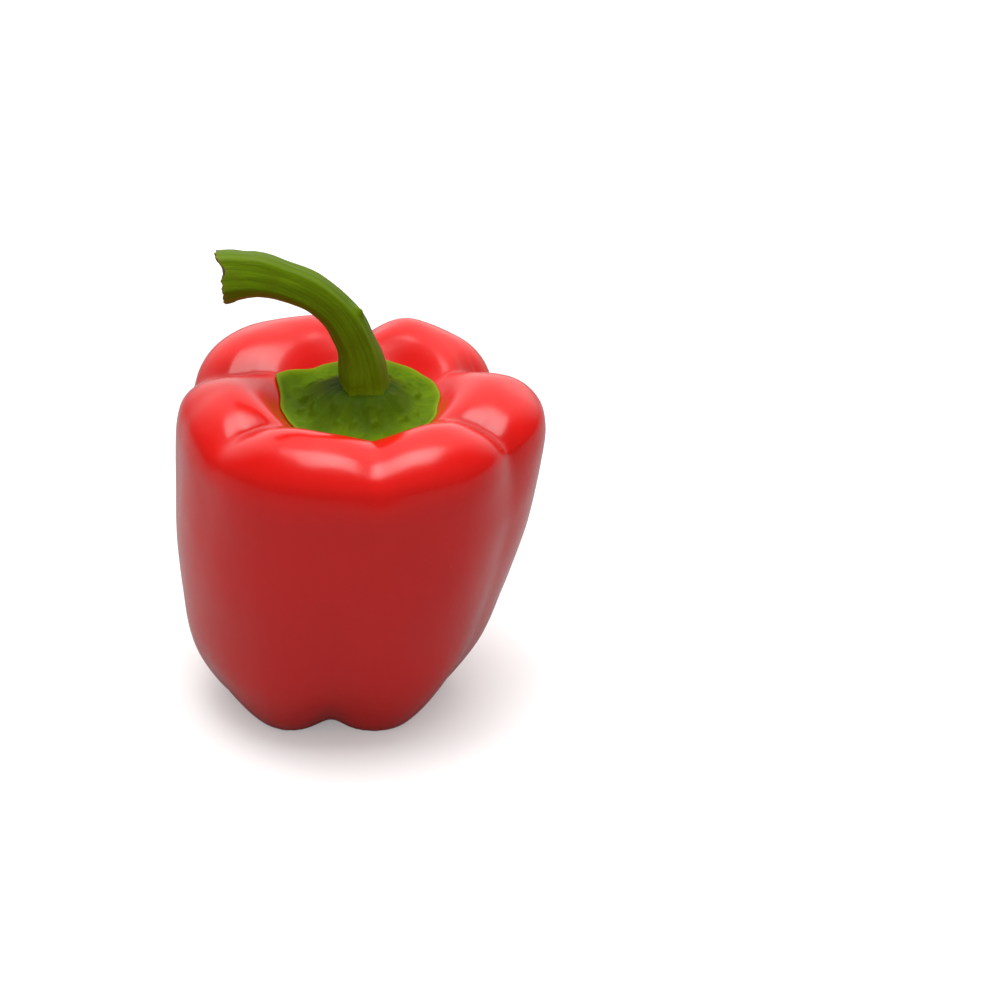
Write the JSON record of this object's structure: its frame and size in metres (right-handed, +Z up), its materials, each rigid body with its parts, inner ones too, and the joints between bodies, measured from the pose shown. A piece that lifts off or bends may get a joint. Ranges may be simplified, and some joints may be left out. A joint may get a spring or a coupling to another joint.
{
  "type": "bell pepper",
  "caption": "Blocky lobed sweet pepper with a sunken green calyx and a thick bent stem, standing upright on the feet of its lobes.",
  "frame": {"origin": "on the surface the pepper stands on, under the middle of the part's box", "axes": "+Z up from the feet to the stem; -Y is the side with two broad lobes; the stem bends towards -X"},
  "size_m": [0.0898, 0.083, 0.1177],
  "materials": {
    "pepper_skin": "smooth waxy red skin, glossy",
    "calyx_green": "fleshy green, faintly ridged and warty, satin",
    "stem_green": "ribbed green stem with a dry brownish cut end, satin"
  },
  "bodies": {
    "root": {"fruit": "pepper_skin", "calyx": "calyx_green", "stem": "stem_green"}
  },
  "joints": []
}
